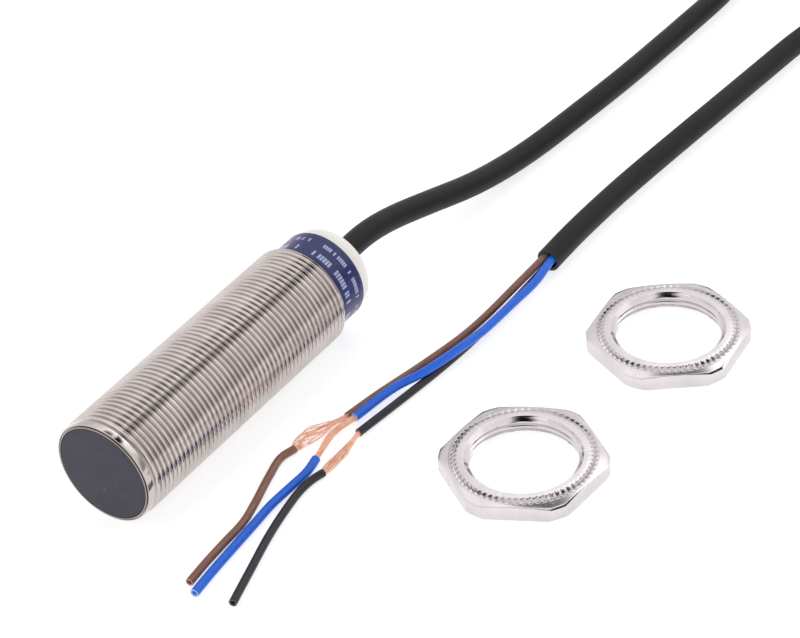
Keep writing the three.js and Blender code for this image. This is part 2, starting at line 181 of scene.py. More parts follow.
def barrel_nickel():
    """Nickel plate on a turned thread: painted shade darkening the thread's roots, fine turning marks round
    the axis.
    """
    f = Finish("nickel_plated_brass", metallic=1.0)
    depth = f.spread(f.radius((AXIS_X, AXIS_Z), "xz"), THREAD_ROOT_RADIUS, THREAD_RADIUS)
    clouds = f.noise(5)
    marks = f.noise(0.07, (200, 1, 200))
    stain = f.spread(f.noise(1.6, (3, 1, 3), 5), 0.45, 0.75)
    plate = f.mix(f.spread(clouds, 0.35, 0.65), rgb(205, 198, 195), rgb(196, 188, 184))
    dull = f.mix(f.math("MULTIPLY", stain, 0.35), plate, rgb(166, 157, 149))
    # Painted shade: the plate darkens towards the thread's roots, in place of shade in the grooves.
    f.colour(f.mix(f.spread(depth, 0.0, 0.5, 0.7, 0.0), dull, rgb(134, 124, 116)))
    worn = f.spread(f.math("ADD", clouds, marks), 0.7, 1.3, 0.08, 0.14)
    f.roughness(f.math("ADD", worn, f.spread(depth, 0, 0.4, 0.10, 0.0)))
    f.bump((marks, 0.004), (f.noise(1.1, (1, 0.4, 1), 2), 0.010))
    return f.material


def nut_nickel(name, node):
    """The same plate on a nut: rings from the tool, painted shade darkening the knurl, small knocks, and
    edges rubbed bright.
    """
    f = Finish(name, metallic=1.0)
    low, high = box(node)
    middle = ((low.x + high.x) / 2, (low.y + high.y) / 2)
    away = f.radius(middle, "xy")
    place = f.add("CombineXYZ", {0: away, 1: f.z, 2: 0.0}).outputs[0]
    rings = f.noise(0.09, place=place)
    clouds = f.noise(3.5)
    edge = f.spread(f.add("NewGeometry").outputs["Pointiness"], 0.5, 0.56)
    knocks = f.spread(f.noise(0.45, detail=2), 0.66, 0.74)
    # Painted shade: the plate is darkened over the knurled band, in place of shade in its pits.
    knurled = f.spread(f.math("ABSOLUTE", f.math("SUBTRACT", away, KNURL_RADIUS)), 0.42, 0.64, 0.8, 0.0)
    plate = f.mix(f.spread(clouds, 0.35, 0.65), rgb(217, 211, 214), rgb(206, 200, 201))
    plate = f.mix(knurled, plate, rgb(184, 179, 178))
    dull = f.mix(f.math("MULTIPLY", knocks, 0.4), plate, rgb(172, 162, 150))
    f.colour(f.mix(f.math("MULTIPLY", edge, 0.5), dull, rgb(228, 224, 222)))
    f.roughness(f.spread(f.math("ADD", clouds, rings), 0.7, 1.3, 0.08, 0.17))
    f.bump((rings, 0.0025), (knocks, -0.006))
    return f.material


def moulded(name, main, other, rough=(0.38, 0.52), grain=0.14, depth=0.006, dust=None, **shader):
    """Moulded plastic: two near tones, a fine grain, faint scuffs, and a few specks of dust where given."""
    f = Finish(name, **shader)
    clouds = f.noise(4)
    skin = f.noise(grain, detail=2)
    colour = f.mix(f.spread(clouds, 0.3, 0.7), main, other)
    if dust:
        colour = f.mix(f.spread(f.noise(0.5, detail=1), 0.76, 0.82, 0, 0.55), colour, dust)
    f.colour(colour)
    scuffs = f.spread(f.noise(1.2, (4, 1, 1), 5), 0.5, 0.75, 0, 0.08)
    f.roughness(f.math("ADD", f.spread(skin, 0.3, 0.7, *rough), scuffs))
    f.bump((skin, depth), (clouds, depth * 3))
    return f.material


def insulation(name, main, other, pale, rough=(0.3, 0.42)):
    """Extruded PVC: streaks along the core, and a paler freshly cut rim, which the mesh marks as cut."""
    f = Finish(name, subsurface_weight=0.12, subsurface_scale=0.0006, specular_ior_level=0.45)
    streaks = f.noise(0.5, (1, 9, 1))
    skin = f.noise(0.11, (1, 3, 1), 2)
    cut = f.add("Attribute", attribute_name="cut").outputs["Fac"]
    f.colour(f.mix(cut, f.mix(f.spread(streaks, 0.3, 0.7), main, other), pale))
    f.roughness(f.math("ADD", f.spread(skin, 0.3, 0.7, *rough), f.math("MULTIPLY", cut, 0.2)))
    f.bump((skin, 0.006), (streaks, 0.004))
    return f.material


def jacket():
    """Matt black cable jacket: a fine extruded grain, slow grey patches, specks of dust."""
    f = Finish("cable_jacket", specular_ior_level=0.28)
    patches = f.noise(7)
    skin = f.noise(0.16, detail=2)
    lint = f.spread(f.noise(0.4, detail=1), 0.77, 0.84, 0, 0.5)
    cut = f.add("Attribute", attribute_name="cut").outputs["Fac"]
    black = f.mix(f.spread(patches, 0.3, 0.7), rgb(12, 12, 16), rgb(18, 18, 23))
    f.colour(f.mix(lint, f.mix(cut, black, rgb(58, 58, 62)), rgb(120, 120, 122)))
    f.roughness(f.spread(f.math("ADD", patches, skin), 0.7, 1.3, 0.40, 0.58))
    f.bump((skin, 0.009), (f.noise(1.5), 0.03))
    return f.material


def metal(name, main, other, rough=(0.2, 0.35), lines=(1, 1, 1), metallic=1.0, depth=0.003, **shader):
    """Plain metal with drawn or rolled lines and some tarnish."""
    f = Finish(name, metallic=metallic, **shader)
    drawn = f.noise(0.08, lines, 2)
    tarnish = f.noise(1.1)
    f.colour(f.mix(f.spread(tarnish, 0.35, 0.7), main, other))
    f.roughness(f.spread(drawn, 0.3, 0.7, *rough))
    f.bump((drawn, depth))
    return f.material


def winding():
    """Enamelled wire: turn beside turn round the sensor's axis, with painted shade in the grooves between the
    turns.
    """
    f = Finish("winding_copper", metallic=0.75, coat_weight=0.6, coat_roughness=0.15)
    wire = 0.2
    turns = f.math("ABSOLUTE", f.math("SINE", f.math("MULTIPLY", f.y, math.pi / wire)))
    tones = f.noise(1.2)
    # Painted shade: the colour goes dark where turns is low, in the grooves between the turns.
    f.colour(f.mix(turns, rgb(92, 42, 20), f.mix(tones, rgb(190, 104, 54), rgb(160, 82, 42))))
    f.roughness(f.spread(tones, 0.3, 0.7, 0.22, 0.4))
    f.bump((turns, 0.08))
    return f.material


def laminate():
    """Green circuit board: copper tracks under the solder mask, and the weave of the glass."""
    f = Finish("board_laminate", coat_weight=0.4, coat_roughness=0.2)
    brick = {0: f.place, "Scale": 0.45, "Mortar Size": 0.06, "Color1": (0, 0, 0, 1), "Color2": (0, 0, 0, 1)}
    tracks = f.add("TexBrick", {**brick, "Mortar": (1, 1, 1, 1)}).outputs["Color"]
    weave = f.add("TexChecker", {0: f.place, "Scale": 4.0}).outputs["Fac"]
    mask = f.mix(f.noise(2.5), rgb(26, 84, 50), rgb(34, 98, 58))
    f.colour(f.mix(tracks, mask, rgb(74, 136, 74)))
    f.roughness(f.spread(f.noise(0.3), 0.3, 0.7, 0.35, 0.5))
    f.bump((weave, 0.004), (tracks, 0.03))
    return f.material


def woven():
    """A woven strap: warp threads along it and weft across, with lint, and painted shade in the dips of the
    weave.
    """
    f = Finish("tie_fabric", sheen_weight=0.3, sheen_roughness=0.5)
    warp, weft = 0.42, 0.5
    across = f.math("SINE", f.math("MULTIPLY", f.x, 2 * math.pi / warp))
    along = f.math("SINE", f.math("MULTIPLY", f.math("ADD", f.y, f.z), 2 * math.pi / weft))
    threads = f.spread(f.math("MULTIPLY", across, along), -1, 1)
    fuzz = f.noise(0.1, detail=2)
    # Painted shade: the colour goes near black where threads is low, in the dips of the weave.
    f.colour(f.mix(threads, rgb(20, 20, 22), f.mix(fuzz, rgb(38, 38, 41), rgb(62, 62, 66))))
    f.roughness(f.spread(fuzz, 0.3, 0.7, 0.75, 0.95))
    f.bump((threads, 0.08), (fuzz, 0.03))
    return f.material


# Rows of dashes on the printed band: (station of the middle, height, width of a dash and its gap, share of
# places left blank), and the half width of a dash as a share of its place.
PRINT_ROWS = ((1.55, 1.1, 0.55, 0.42), (3.9, 0.8, 0.42, 0.50))
DASH_HALF = 0.36
ROW_SEED = 71.0                    # keeps the rows' chances apart


def printed_film():
    """Satin navy film with rows of plain pale dashes, some left out by chance, in place of print."""
    f = Finish("label_film", coat_weight=0.15, coat_roughness=0.2, specular_ior_level=0.35)
    side = f.math("SUBTRACT", f.x, AXIS_X)
    up = f.math("SUBTRACT", f.z, AXIS_Z)
    round_it = f.math("MULTIPLY", f.math("ARCTAN2", up, side), BAND_RADIUS)
    station = f.math("SUBTRACT", f.y, FACE_Y + BAND_START)
    ink = 0.0
    for row, (middle, height, width, blank) in enumerate(PRINT_ROWS):
        places = f.math("DIVIDE", round_it, width)
        seed = f.math("ADD", f.math("FLOOR", places), row * ROW_SEED)
        dice = f.add("TexWhiteNoise", {"W": seed}, noise_dimensions="1D").outputs[0]
        within = f.math("ABSOLUTE", f.math("SUBTRACT", f.math("FRACT", places), 0.5))
        off = f.math("ABSOLUTE", f.math("SUBTRACT", station, middle))
        dash = f.math("MULTIPLY", f.math("GREATER_THAN", dice, blank), f.math("LESS_THAN", within, DASH_HALF))
        dash = f.math("MULTIPLY", dash, f.math("LESS_THAN", off, height / 2))
        ink = f.math("MAXIMUM", ink, dash)
    worn = f.math("MULTIPLY", ink, f.spread(f.noise(0.35), 0.3, 0.5, 0.55, 0.9))
    film = f.mix(f.spread(f.noise(3), 0.3, 0.7), rgb(22, 28, 88), rgb(28, 34, 98))
    f.colour(f.mix(worn, film, rgb(178, 186, 222)))
    f.roughness(f.spread(f.noise(0.6), 0.3, 0.7, 0.26, 0.38))
    f.bump((ink, 0.008), (f.noise(2.2), 0.02))
    return f.material


def make_finishes():
    copper = (rgb(255, 218, 197), rgb(249, 184, 150))
    translucent = {"subsurface_weight": 0.35, "subsurface_scale": 0.0018}
    return {
        "nickel_plated_brass": barrel_nickel(),
        "sensing_plastic": moulded("sensing_plastic", rgb(44, 43, 56), rgb(50, 49, 63), rough=(0.42, 0.55),
                                   grain=0.12, depth=0.004, dust=rgb(112, 110, 122), specular_ior_level=0.35),
        "ferrite": moulded("ferrite", rgb(52, 53, 57), rgb(66, 66, 70), rough=(0.6, 0.8), grain=0.06,
                           depth=0.012),
        "natural_plastic": moulded("natural_plastic", rgb(222, 219, 208), rgb(210, 206, 192)),
        "black_plastic": moulded("black_plastic", rgb(34, 35, 38), rgb(42, 43, 46)),
        "winding_copper": winding(),
        "copper_sheet": metal("copper_sheet", rgb(206, 134, 96), rgb(172, 100, 66)),
        "board_laminate": laminate(),
        "component_ceramic": moulded("component_ceramic", rgb(158, 130, 102), rgb(140, 114, 90)),
        "led_lens": moulded("led_lens", rgb(238, 214, 120), rgb(228, 200, 100), rough=(0.1, 0.18),
                            **translucent),
        "potting_resin": moulded("potting_resin", rgb(56, 60, 68), rgb(66, 70, 78), rough=(0.25, 0.35),
                                 grain=0.8, depth=0.02),
        "label_film": printed_film(),
        "ivory_plastic": moulded("ivory_plastic", rgb(243, 241, 236), rgb(237, 235, 229), rough=(0.3, 0.42),
                                 grain=0.2, depth=0.008, **translucent),
        "crimp_brass": metal("crimp_brass", rgb(196, 172, 102), rgb(172, 146, 84)),
        "cable_jacket": jacket(),
        "core_brown": insulation("core_brown", rgb(124, 82, 66), rgb(140, 98, 78), rgb(184, 146, 130)),
        "core_blue": insulation("core_blue", rgb(6, 92, 214), rgb(16, 104, 222), rgb(150, 186, 244)),
        "core_black": insulation("core_black", rgb(17, 17, 27), rgb(26, 26, 36), rgb(84, 82, 86)),
        "strand_copper": metal("strand_copper", *copper, rough=(0.35, 0.5), lines=(4, 8, 4), metallic=0.15,
                               depth=0.002, specular_ior_level=0.25),
        "tie_fabric": woven(),
    }


FINISHES = make_finishes()


# ---- meshes ----
MERGE_DISTANCE = 3e-7              # metres, as the next one
LEAST_EDGE = 1e-7


def mesh_piece(name, points, faces, slot, body="sensor_body", stands_for=(), finish=None, sharp=35,
               cut=None):
    """A piece from points in millimetres, with repeated points merged, that rides on a body and stands for
    CAD nodes. cut holds 1 for each point on a freshly cut face."""
    mesh = bpy.data.meshes.new(name)
    mesh.from_pydata((np.asarray(points, float) * MM).tolist(), [], faces)
    if cut is not None:
        mesh.attributes.new("cut", "FLOAT", "POINT").data.foreach_set("value", cut)
    tidy = bmesh.new()
    tidy.from_mesh(mesh)
    bmesh.ops.remove_doubles(tidy, verts=tidy.verts, dist=MERGE_DISTANCE)
    bmesh.ops.dissolve_degenerate(tidy, edges=tidy.edges, dist=LEAST_EDGE)
    bmesh.ops.recalc_face_normals(tidy, faces=tidy.faces)
    tidy.to_mesh(mesh)
    tidy.free()
    mesh.polygons.foreach_set("use_smooth", [True] * len(mesh.polygons))
    mesh.set_sharp_from_angle(angle=math.radians(sharp))
    mesh.materials.append(finish or FINISHES[slot])
    piece = bpy.data.objects.new(name, mesh)
    bpy.context.scene.collection.objects.link(piece)
    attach(piece, body)
    if stands_for:
        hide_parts(*stands_for)
    return piece


def grid_faces(columns, rows, wrap_rows=False, climb=0):
    """Quads of a round grid with columns * rows points. Past the last column the rows step up by climb."""
    faces = []
    for column in range(columns):
        after = (column + 1) % columns
        step = climb if after == 0 else 0
        for row in range(rows - step - (0 if wrap_rows else 1)):
            up = (row + 1) % rows
            faces.append((column * rows + row, after * rows + (row + step) % rows,
                          after * rows + (up + step) % rows, column * rows + up))
    return faces


def about_axis(radii, stations, angles):
    """Points about the sensor's axis, from arrays of the same shape."""
    across, up = radii * np.cos(angles), radii * np.sin(angles)
    return np.stack([AXIS_X + across, FACE_Y + stations, AXIS_Z - up], axis=-1).reshape(-1, 3)


def turned(name, profile, slot, sides=120, **piece):
    """A solid turned about the sensor's axis from (radius, station) pairs, closed on itself or the axis."""
    radii, stations = np.array(profile, float).T
    angles = np.arange(sides)[:, None] * 2 * math.pi / sides
    points = about_axis(radii + 0 * angles, stations + 0 * angles, angles)
    faces = grid_faces(sides, len(profile), wrap_rows=profile[0][0] > 0)
    return mesh_piece(name, points, faces, slot, **piece)


def arc(radius, station, size, start, end, count=7):
    """(radius, station) pairs of an arc about a centre, its angles in degrees from outwards to rearwards."""
    angles = np.radians(np.linspace(start, end, count))
    return [(radius + size * math.cos(angle), station + size * math.sin(angle)) for angle in angles]


def thread_grid(columns, start, end):
    """How far along a thread each point of a grid lies, and its phase in the thread from 0 to 1. The rows
    follow the thread, and both ends are held to a flat ring."""
    rise = np.arange(columns)[:, None] / columns
    rows = int((end - start) / THREAD_PITCH * THREAD_ROWS) + 3 * THREAD_ROWS + 1
    climb = np.arange(rows) / THREAD_ROWS - 1
    along = np.clip(start + (rise + climb) * THREAD_PITCH, start, end)
    return along, ((along - start) / THREAD_PITCH - rise) % 1


def ridge(phase):
    """Height of a thread at a phase, 0 at its root and 1 on its flattened crest, with its flanks eased a
    little into both."""
    root, flank_reach, straight = 0.08, 0.66, 0.65
    flank = np.clip((np.abs(2 * phase - 1) - root) / flank_reach, 0, 1)
    return straight * flank + (1 - straight) * flank * flank * (3 - 2 * flank)


# ---- centre lines ----
def smooth(value, low, high):
    share = min(max((value - low) / (high - low), 0), 1)
    return share * share * (3 - 2 * share)


def through(points, per_span=14):
    """A smooth line through given points: the centripetal Catmull-Rom curve that the CAD uses."""
    line = np.array(points, float)
    line = np.vstack([2 * line[0] - line[1], line, 2 * line[-1] - line[-2]])
    out = []
    for a, b, c, d in zip(line[:-3], line[1:-2], line[2:-1], line[3:]):
        before, span, after = (math.sqrt(np.linalg.norm(gap)) for gap in (b - a, c - b, d - c))
        leave = ((b - a) / before - (c - a) / (before + span) + (c - b) / span) * span
        arrive = ((c - b) / span - (d - b) / (span + after) + (d - c) / after) * span
        for t in np.arange(per_span) / per_span:
            out.append((2 * t**3 - 3 * t**2 + 1) * b + (t**3 - 2 * t**2 + t) * leave
                       + (3 * t**2 - 2 * t**3) * c + (t**3 - t**2) * arrive)
    return np.vstack([out, line[-2]])


def evenly(line, step):
    """The same line with its points about a step apart."""
    travelled = np.concatenate([[0], np.cumsum(np.linalg.norm(np.diff(line, axis=0), axis=1))])
    stops = np.linspace(0, travelled[-1], max(2, round(travelled[-1] / step) + 1))
    return np.stack([np.interp(stops, travelled, line[:, axis]) for axis in range(3)], axis=-1)


def eased(line, passes):
    """The line with small kinks smoothed out and its ends held."""
    for _ in range(passes):
        line[1:-1] += 0.25 * (line[:-2] + line[2:] - 2 * line[1:-1])
    return line


def side_frames(line):
    """Directions along and across the line at each of its points, carried along without twisting."""
    along = np.gradient(line, axis=0)
    along /= np.linalg.norm(along, axis=1)[:, None]
    across = np.cross(along[0], (0, 0, 1))
    firsts = []
    for direction in along:
        across = across - direction * (across @ direction)
        across /= np.linalg.norm(across)
        firsts.append(across)
    return along, np.array(firsts), np.cross(along, firsts)


PLAIN_END = [(0.0, 1.0), (0.02, 0.96), (0.02, 0.5)]


def cut_end(wall, depth, rim=0.04):
    """The rings of an open end past the last full ring, as (advance, share of the radius) pairs: a rim with
    its edge broken, then a hole that goes back into the tube."""
    hole = 1 - wall
    outside = [(0.0, 1.0), (rim * 0.7, 0.985), (rim, 0.95)]
    return outside + [(rim, hole + 0.04), (rim * 0.5, hole), (-depth, hole - 0.02)]


def tube_mesh(line, radius, sides, start, end):
    """Points, faces and cut marks of a closed round tube along a line, its ends given as rings past it."""
    along, first, second = side_frames(line)
    rings = [(line[0] - along[0] * step, 0, radius * share, step) for step, share in start[:0:-1]]
    rings += [(point, index, radius, 0) for index, point in enumerate(line)]
    rings += [(line[-1] + along[-1] * step, -1, radius * share, step) for step, share in end[1:]]
    angles = np.arange(sides) * 2 * math.pi / sides
    points, cut = [], []
    for middle, index, size, step in rings:
        outwards = [math.cos(a) * first[index] + math.sin(a) * second[index] for a in angles]
        points += [middle + size * way for way in outwards]
        cut += [float(step != 0)] * sides
    last = (len(rings) - 1) * sides
    hubs = len(points), len(points) + 1
    points += [rings[0][0], rings[-1][0]]
    cut += [cut[0], cut[last]]
    faces = [(r + k, r + (k + 1) % sides, r + sides + (k + 1) % sides, r + sides + k)
             for r in range(0, last, sides) for k in range(sides)]
    faces += [(hubs[0], (k + 1) % sides, k) for k in range(sides)]
    faces += [(hubs[1], last + k, last + (k + 1) % sides) for k in range(sides)]
    return points, faces, cut


def tubes(name, lines, radius, sides, slot, start=PLAIN_END, end=PLAIN_END, **piece):
    """One piece made of tubes along several lines."""
    points, faces, cut = [], [], []
    for line in lines:
        more, corners, marks = tube_mesh(line, radius, sides, start, end)
        faces += [tuple(corner + len(points) for corner in face) for face in corners]
        points += more
        cut += marks
    return mesh_piece(name, points, faces, slot, cut=cut, **piece)


# ---- cords: the cable, its three cores and their stripped ends, by listed points as in the CAD ----
LEAD_ROUTE = [
    (-27.5, 13.6, 9), (-27.85, 20.4, 9.45), (-27.65, 28.1, 8.6), (-26.1, 38.9, 6.4), (-24.5, 49.2, 4.1),
    (-23.6, 58.5, 2.6), (-22.7, 66.7, 2.1), (-21.6, 78.8, 2.05), (-20.6, 91.1, 2.05), (-20.1, 100.6, 2.05),
    (-19.6, 114.4, 2.05), (-19.4, 126, 2.05), (-20.6, 136, 2.05), (-25, 145.5, 2.05), (-30, 152.9, 2.05),
    (-32.6, 157.9, 2.05), (-35.2, 165, 2.05), (-36.5, 172.5, 2.05),
]
TAIL_ROUTE = [
    (18.9, 172.5, 14.3), (18.6, 167, 13.9), (17.4, 160.5, 12.6), (13.6, 151, 8.6), (8.4, 141.5, 4.2),
    (3.6, 131, 2.2), (1.1, 119.8, 2.05), (0, 106.6, 2.05), (-1, 92.9, 2.05), (-2, 79.3, 2.05),
    (-2.6, 70.5, 2.05), (-3.1, 61.4, 2.05), (-3.3, 47.9, 2.05), (-3, 39.9, 2.05),
]
CORE_ROUTES = {
    "brown": [(-3.75, 41.4, 2.45), (-3.7, 39.6, 2.45), (-4.2, 31.7, 1.6), (-4.6, 22.9, 0.9), (-5.1, 17, 0.7),
              (-6.5, 8.2, 0.7), (-8.5, -1.8, 0.7), (-9.6, -8.8, 0.7)],
    "blue": [(-2.35, 41.4, 2.45), (-2.3, 39.6, 2.45), (-1.6, 33.8, 2.2), (-1.7, 27, 2.15),
             (-1.9, 18.5, 2.15), (-2.5, 12.9, 2.35), (-4.4, 5.1, 1.95), (-6.58, 0.1, 1.48), (-8, -8.9, 1.25)],
    "black": [(-3.05, 41.4, 1.25), (-3, 39.6, 1.25), (-3, 33.1, 0.8), (-2.9, 27.1, 0.7), (-3, 20.1, 0.7),
              (-3.1, 14.6, 0.7), (-3.6, 7.4, 0.7), (-4.4, -0.2, 0.7), (-5.7, -11.2, 0.7)],
}
SLUG_ROUTES = {
    "brown": [(-12.1, -19.4, 0.7), (-12.7, -22.2, 0.7), (-11.7, -26.6, 0.7), (-9.6, -33.6, 0.7),
              (-8.7, -37.4, 0.7), (-8.4, -42.6, 0.7), (-8.1, -47.4, 0.7), (-7.6, -52.2, 0.7)],
    "blue": [(-7.8, -19.7, 0.7), (-7.2, -23, 0.7), (-7.3, -27.4, 0.7), (-7.4, -32, 0.7), (-7, -37, 0.7),
             (-6.6, -42.1, 0.7), (-6.1, -48.3, 0.7), (-5.5, -53.7, 0.7)],
    "black": [(-4.9, -21.8, 0.7), (-5.4, -24, 0.7), (-5.5, -27, 0.7), (-4.7, -32.3, 0.7), (-3.4, -38.2, 0.7),
              (-1.4, -45.2, 0.7), (0.7, -52.5, 0.7)],
}
CABLE_STEP, CORE_STEP = 1.2, 0.5    # between the points of their lines
COIL_TURNS = 11.5
COIL_TURN_RADIUS = 23.7
COIL_COLUMNS = 3
COIL_STEPS = 60                    # points in a turn
COIL_SIDE_STEP = (0.80, 0.90)      # shares of a turn between which it moves sideways
COIL_UP_STEP = (0.90, 1.0)         # and up
TIE_THICKNESS = 0.5
TIE_WIDTH = 5.0
TIE_GAP = 0.08                     # between the tie and the turns above it
TIE_RAMP = 14                      # how far from the tie the turns begin to rise
TIE_ANGLE = math.pi / 2


def coil_place(turn):
    """(column, layer) of a turn. Columns are -1, 0 and 1 from the middle, and odd layers run outwards."""
    layer, order = divmod(turn, COIL_COLUMNS)
    return (order - 1 if layer % 2 else 1 - order), layer


def coil_line():
    """Turns wound in flat layers of three, one on another. Near the end of its round each turn moves to the
    next place, first sideways and then up, and all of them rise a little where the tie passes under them."""
    low, high = box("cable_coil")
    middle = (low + high) / 2
    line = []
    for step in range(int(COIL_TURNS * COIL_STEPS) + 1):
        turn, share = divmod(step / COIL_STEPS, 1)
        (column, layer), (next_column, next_layer) = coil_place(int(turn)), coil_place(int(turn) + 1)
        column += (next_column - column) * smooth(share, *COIL_SIDE_STEP)
        layer += (next_layer - layer) * smooth(share, *COIL_UP_STEP)
        radius = COIL_TURN_RADIUS + column * 2 * CABLE_RADIUS
        angle = math.pi - 2 * math.pi * (turn + share)
        off_tie = abs((angle - TIE_ANGLE + math.pi) % (2 * math.pi) - math.pi) * radius
        lift = (TIE_THICKNESS + TIE_GAP) * (1 - smooth(off_tie, TIE_WIDTH / 2, TIE_RAMP))
        line.append((middle.x + radius * math.cos(angle), middle.y + radius * math.sin(angle),
                     CABLE_RADIUS * (1 + 2 * layer) + lift))
    return np.array(line)


def rounded_loop(half_wide, half_high, corner, count=8):
    """(across, up, outward across, outward up) round a rectangle with round corners."""
    out = []
    for quarter, (side, up) in enumerate(((1, 1), (-1, 1), (-1, -1), (1, -1))):
        for angle in np.radians(np.linspace(90 * quarter, 90 * quarter + 90, count)):
            across, high = math.cos(angle), math.sin(angle)
            out.append((side * (half_wide - corner) + corner * across,
                        up * (half_high - corner) + corner * high, across, high))
    return out


# The strap's section, with its edges rounded, as (share of the width, share of the thickness) pairs.
STRAP_EDGE = [(-0.5, 0.2), (-0.47, 0.05), (-0.42, 0), (-0.2, 0), (0, 0), (0.2, 0), (0.42, 0), (0.47, 0.05),
              (0.5, 0.2), (0.5, 0.8), (0.47, 0.95), (0.42, 1), (0.2, 1), (0, 1), (-0.2, 1), (-0.42, 1),
              (-0.47, 0.95), (-0.5, 0.8)]


def strap(name, spine, x, closed, **piece):
    """A flat strap at x along a spine of (y, z, outward y, outward z), TIE_THICKNESS outwards from it."""
    points = [(x + across * TIE_WIDTH, y + out_y * rise * TIE_THICKNESS, z + out_z * rise * TIE_THICKNESS)
              for y, z, out_y, out_z in spine for across, rise in STRAP_EDGE]
    rows = len(STRAP_EDGE)
    faces = grid_faces(len(spine), rows, wrap_rows=True)
    if not closed:
        faces = [face for face in faces if max(face) - min(face) < 2 * rows]
        faces += [tuple(range(rows))[::-1], tuple(range(len(points) - rows, len(points)))]
    return mesh_piece(name, points, faces, "tie_fabric", **piece)


def make_tie():
    """The strap round the coil's section, with its free end lapped over the top."""
    coil_low, coil_high = box("cable_coil")
    x = (coil_low.x + coil_high.x) / 2
    middle = (coil_low.y + coil_high.y) / 2 + COIL_TURN_RADIUS
    slack = 0.1
    half_wide = COIL_COLUMNS * CABLE_RADIUS + slack
    high = (coil_high.z - coil_low.z) + 2 * TIE_GAP
    loop = rounded_loop(half_wide, high / 2, CABLE_RADIUS + slack)
    spine = [(middle + y, z + high / 2 + TIE_THICKNESS, out_y, out_z) for y, z, out_y, out_z in loop]
    lap_height, lap_start, lap_end = high + 2 * TIE_THICKNESS + 0.01, -half_wide * 0.55, half_wide * 0.62
    lap = [(middle + y, lap_height, 0, 0.8) for y in np.linspace(lap_start, lap_end, 12)]
    return [strap("tie_loop", spine, x, True, stands_for=["coil_tie"]),
            strap("tie_end", lap, x, False)]


def make_cable():
    line = np.vstack([through(LEAD_ROUTE), coil_line(), through(TAIL_ROUTE)])
    line = eased(evenly(line, CABLE_STEP), 8)
    cable = tubes("cable", [line], CABLE_RADIUS, 28, "cable_jacket", end=cut_end(0.25, 1.3),
                  stands_for=["cable_lead", "cable_coil", "cable_tail"])
    make_tie()


# Where each bundle of bare wires runs between a core and its stripped slug of insulation: the points of its
# middle, its half width and half height at even places along it, its twist in turns, how far its wires stray,
# how many they are, and how hollow it is towards the slug.
BUNDLES = {
    "brown": {
        "middle": [(-10.2, -10.7, 0.8), (-10.6, -12, 0.9), (-10.9, -14.2, 1.1), (-11.3, -16, 1.2),
                   (-12, -17.3, 1)],
        "wide": (0.4, 0.42, 0.55, 1.0, 1.4, 1.25, 0.42),
        "high": (0.38, 0.3, 0.35, 0.6, 0.8, 0.6, 0.4),
        "twist": 0.3, "stray": 0.9, "wires": 22, "hollow": 0.55,
    },
    "blue": {
        "middle": [(-8.25, -10, 1.15), (-8.85, -12.1, 1), (-8.95, -14, 0.8), (-8.55, -16.3, 0.7)],
        "wide": (0.42, 0.68, 0.68, 0.6, 0.55, 0.46, 0.4),
        "high": (0.38, 0.26, 0.24, 0.24, 0.26, 0.3, 0.36),
        "twist": 0.12, "stray": 0.06, "wires": 36, "hollow": 0,
    },
    "black": {
        "middle": [(-5.4, -12.7, 0.7), (-5.2, -14.6, 0.7), (-5, -16.4, 0.7), (-5, -18.4, 0.7),
                   (-4.95, -19.9, 0.75)],
        "wide": (0.36, 0.4, 0.58, 0.8, 0.9, 0.92, 0.44),
        "high": (0.34, 0.28, 0.34, 0.4, 0.45, 0.45, 0.4),
        "twist": 0.4, "stray": 0.08, "wires": 36, "hollow": 0,
    },
}
WIRE_STEP = 0.3                    # between the points of a wire
WIRE_WAVE = 0.06                   # how far a wire waves from side to side
STRAY_ACROSS, STRAY_UP = 0.55, 0.3  # shares of its straying that go sideways and up
GOLDEN_ANGLE = math.pi * (3 - math.sqrt(5))


def make_wires(colour, core_end, slug_start):
    """Fine wires that leave the core side by side, spread, and gather again into the slug."""
    bundle = BUNDLES[colour]
    middle = evenly(through([*core_end, *bundle["middle"], *slug_start[::-1]]), WIRE_STEP)
    share = np.linspace(0, 1, len(middle))
    places = np.linspace(0, 1, len(bundle["wide"]))
    wide, high = (np.interp(share, places, bundle[key]) for key in ("wide", "high"))
    forward = np.gradient(middle, axis=0)
    across = np.stack([forward[:, 1], -forward[:, 0], 0 * share], axis=-1)
    across /= np.linalg.norm(across, axis=1)[:, None]
    lines = []
    for wire in range(bundle["wires"]):
        out = math.sqrt((wire + 0.5) / bundle["wires"])
        out += bundle["hollow"] * (1 - out) * share
        angle = wire * GOLDEN_ANGLE + 2 * math.pi * bundle["twist"] * share
        stray = bundle["stray"] * rng.normal() * np.sin(math.pi * share ** rng.uniform(0.9, 2.2)) ** 2
        ripples = share * rng.uniform(1, 3) + rng.random()
        wave = WIRE_WAVE * np.sin(2 * math.pi * ripples) * np.sin(math.pi * share)
        sideways = out * wide * np.cos(angle) + stray * STRAY_ACROSS + wave
        up = out * high * np.sin(angle) + np.abs(stray) * STRAY_UP
        line = middle + across * sideways[:, None]
        line[:, 2] = np.maximum(line[:, 2] + up, WIRE_RADIUS * 1.05)
        lines.append(eased(line, 6))
    return tubes(f"{colour}_wires", lines, WIRE_RADIUS, 8, "strand_copper", stands_for=[f"strands_{colour}"])


def make_core(colour):
    """One core with its bare wires and the slug of insulation slid off towards its end, on one cord."""
    core_line = evenly(through(CORE_ROUTES[colour]), CORE_STEP)
    slug_line = evenly(through(SLUG_ROUTES[colour]), CORE_STEP)
    slot, radius = f"core_{colour}", CORE_RADII[colour]
    open_end = cut_end(0.34, 0.9)
    core = tubes(f"{colour}_core", [core_line], radius, 24, slot, end=open_end, stands_for=[slot])
    slug = tubes(f"{colour}_slug", [slug_line], radius, 24, slot, start=open_end, end=open_end,
                 stands_for=[f"slug_{colour}"])
    wires = make_wires(colour, (core_line[-2], core_line[-1]), (slug_line[1], slug_line[0]))


make_cable()
for core_colour in CORE_ROUTES:
    make_core(core_colour)


